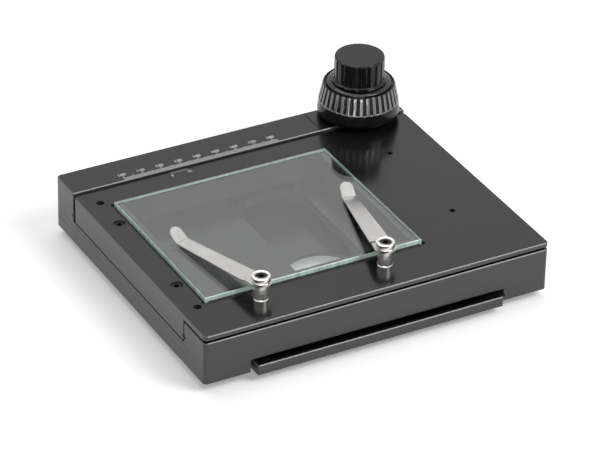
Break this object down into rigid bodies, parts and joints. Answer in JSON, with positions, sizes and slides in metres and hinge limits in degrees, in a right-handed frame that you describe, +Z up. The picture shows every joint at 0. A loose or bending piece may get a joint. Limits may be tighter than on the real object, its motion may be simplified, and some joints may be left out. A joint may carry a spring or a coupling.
{
  "type": "microscope xy stage",
  "caption": "Mechanical xy microscope stage: ball-guided slides with rack and pinion, coaxial knobs, glass insert, swivelling spring clips and a scale with vernier.",
  "frame": {"origin": "centre of the round spigot's bottom face, on the light axis", "axes": "+X to the right along the scale, towards the knobs' side; +Y to the rear; +Z up"},
  "size_m": [0.18, 0.1678, 0.063],
  "materials": {
    "black_aluminium": "black anodised, satin",
    "clear_glass": "clear, green at the edges",
    "spring_steel": "polished strip",
    "nickel": "bright nickel",
    "black_steel": "blackened",
    "ground_steel": "ground",
    "bronze": "turned",
    "black_knob": "gloss",
    "dark_chrome": "polished black"
  },
  "bodies": {
    "base": {"base_plate": "black_aluminium", "mounting_ring": "black_aluminium", "ring_screws": "black_steel", "y_rack": "ground_steel", "y_rack_screws": "black_steel", "y_stop_pin": "ground_steel"},
    "y_carriage": {"y_frame": "black_aluminium", "slide_plate": "black_aluminium", "left_rail": "black_aluminium", "right_rail": "black_aluminium", "gear_block": "black_aluminium", "frame_screws": "black_steel", "rail_screws": "black_steel", "gear_block_screws": "black_steel", "upper_bush": "bronze", "lower_bush": "bronze"},
    "x_carriage": {"x_plate": "black_aluminium", "glass_insert": "clear_glass", "x_rack": "ground_steel", "x_rack_screws": "black_steel", "vernier_plate": "black_aluminium", "plate_screws": "black_steel", "clip_sleeves": "nickel", "clip_caps": "nickel", "clip_screws": "black_steel", "x_stop_pin": "ground_steel"},
    "left_clip": {"clip_left": "spring_steel"},
    "right_clip": {"clip_right": "spring_steel"},
    "y_cages": {"y_ball_strips": "bronze", "y_balls": "ground_steel"},
    "x_cages": {"x_ball_strips": "bronze", "x_balls": "ground_steel"},
    "large_knob_drive": {"large_knob": "black_knob", "hollow_shaft": "ground_steel", "x_pinion": "ground_steel", "knob_collar": "dark_chrome"},
    "small_knob_drive": {"small_knob": "black_knob", "inner_shaft": "ground_steel", "y_pinion": "ground_steel", "small_knob_screw": "black_steel"}
  },
  "joints": [
    {"name": "y_slide", "type": "slide", "parent": "base", "child": "y_carriage", "axis": [0, 1, 0], "range_m": [-0.0455, 0.0095]},
    {"name": "x_slide", "type": "slide", "parent": "y_carriage", "child": "x_carriage", "axis": [1, 0, 0], "range_m": [-0.017, 0.058]},
    {"name": "large_knob_turn", "type": "hinge", "parent": "y_carriage", "child": "large_knob_drive", "pos_m": [0.0685, 0.091, 0.04], "axis": [0, 0, 1], "range_deg": [-178, 605]},
    {"name": "small_knob_turn", "type": "hinge", "parent": "y_carriage", "child": "small_knob_drive", "pos_m": [0.0685, 0.091, 0.055], "axis": [0, 0, 1], "range_deg": [-475, 100]},
    {"name": "y_cage_slide", "type": "slide", "parent": "base", "child": "y_cages", "axis": [0, 1, 0], "range_m": [-0.0228, 0.0048]},
    {"name": "x_cage_slide", "type": "slide", "parent": "y_carriage", "child": "x_cages", "axis": [1, 0, 0], "range_m": [-0.0086, 0.0291]},
    {"name": "left_clip_swivel", "type": "hinge", "parent": "x_carriage", "child": "left_clip", "pos_m": [-0.0521, -0.03485, 0.0382], "axis": [0, 0, 1], "range_deg": [-30, 78]},
    {"name": "right_clip_swivel", "type": "hinge", "parent": "x_carriage", "child": "right_clip", "pos_m": [0.0123, -0.03485, 0.0382], "axis": [0, 0, 1], "range_deg": [-78, 30]}
  ],
  "couplings": [
    {"joint": "large_knob_turn", "follows": "x_slide", "rad_per_m": 181.82},
    {"joint": "small_knob_turn", "follows": "y_slide", "rad_per_m": 181.82},
    {"joint": "y_cage_slide", "follows": "y_slide", "ratio": 0.5},
    {"joint": "x_cage_slide", "follows": "x_slide", "ratio": 0.5}
  ]
}
